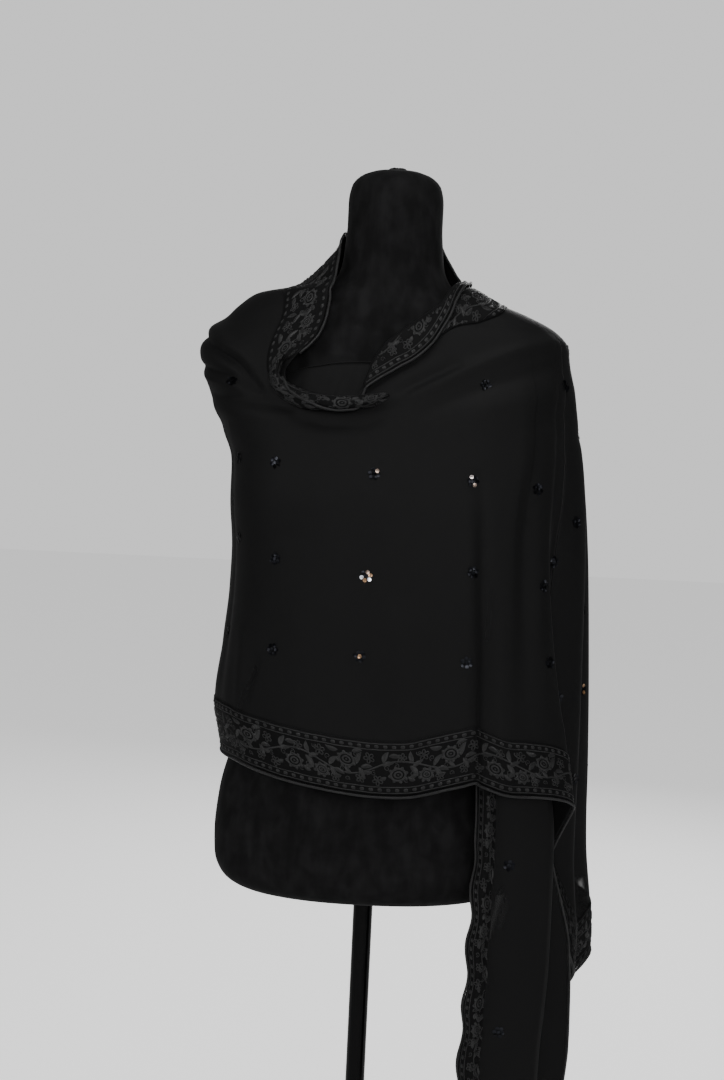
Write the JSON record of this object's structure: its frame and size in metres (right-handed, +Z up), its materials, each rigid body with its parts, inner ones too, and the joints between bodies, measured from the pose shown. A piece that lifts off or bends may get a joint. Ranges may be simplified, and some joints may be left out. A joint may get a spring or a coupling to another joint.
{
  "type": "evening stole on dress form",
  "caption": "Sheer evening stole with an embroidered, corded border, wrapped round a limbless velvet dress form on a pole and round base.",
  "frame": {"origin": "on the floor, at the middle of the base's underside", "axes": "+Z up the pole, the form faces -Y, +X is the viewer's right"},
  "size_m": [0.4563, 0.3, 1.567],
  "materials": {
    "velvet": "matt black velvet",
    "enamel": "glossy black enamel",
    "georgette": "sheer black crepe georgette",
    "embroidery": "black georgette with satin stitch embroidery",
    "piping": "black satin corded edge"
  },
  "bodies": {
    "root": {"form_torso": "velvet", "form_knob": "velvet", "stand_pole": "enamel", "stand_base": "enamel", "stole_front": "georgette", "front_hem_border": "embroidery", "front_hem_piping": "piping", "collar_border": "embroidery", "collar_piping": "piping", "shoulder_border": "embroidery", "lapel_border": "embroidery", "lapel_piping": "piping", "cowl_roll": "embroidery", "chest_fold": "georgette", "stole_thrown_end": "georgette", "thrown_hem_border": "embroidery", "thrown_hem_piping": "piping", "thrown_edge_border": "embroidery", "thrown_edge_piping": "piping", "thrown_neck_border": "embroidery", "stole_back": "georgette", "back_hem_border": "embroidery", "back_hem_piping": "piping", "back_neck_border": "embroidery", "back_neck_piping": "piping", "stole_tail": "georgette", "tail_left_border": "embroidery", "tail_left_piping": "piping", "tail_right_border": "embroidery", "tail_right_piping": "piping", "tail_end_border": "embroidery", "tail_end_piping": "piping"}
  },
  "joints": []
}
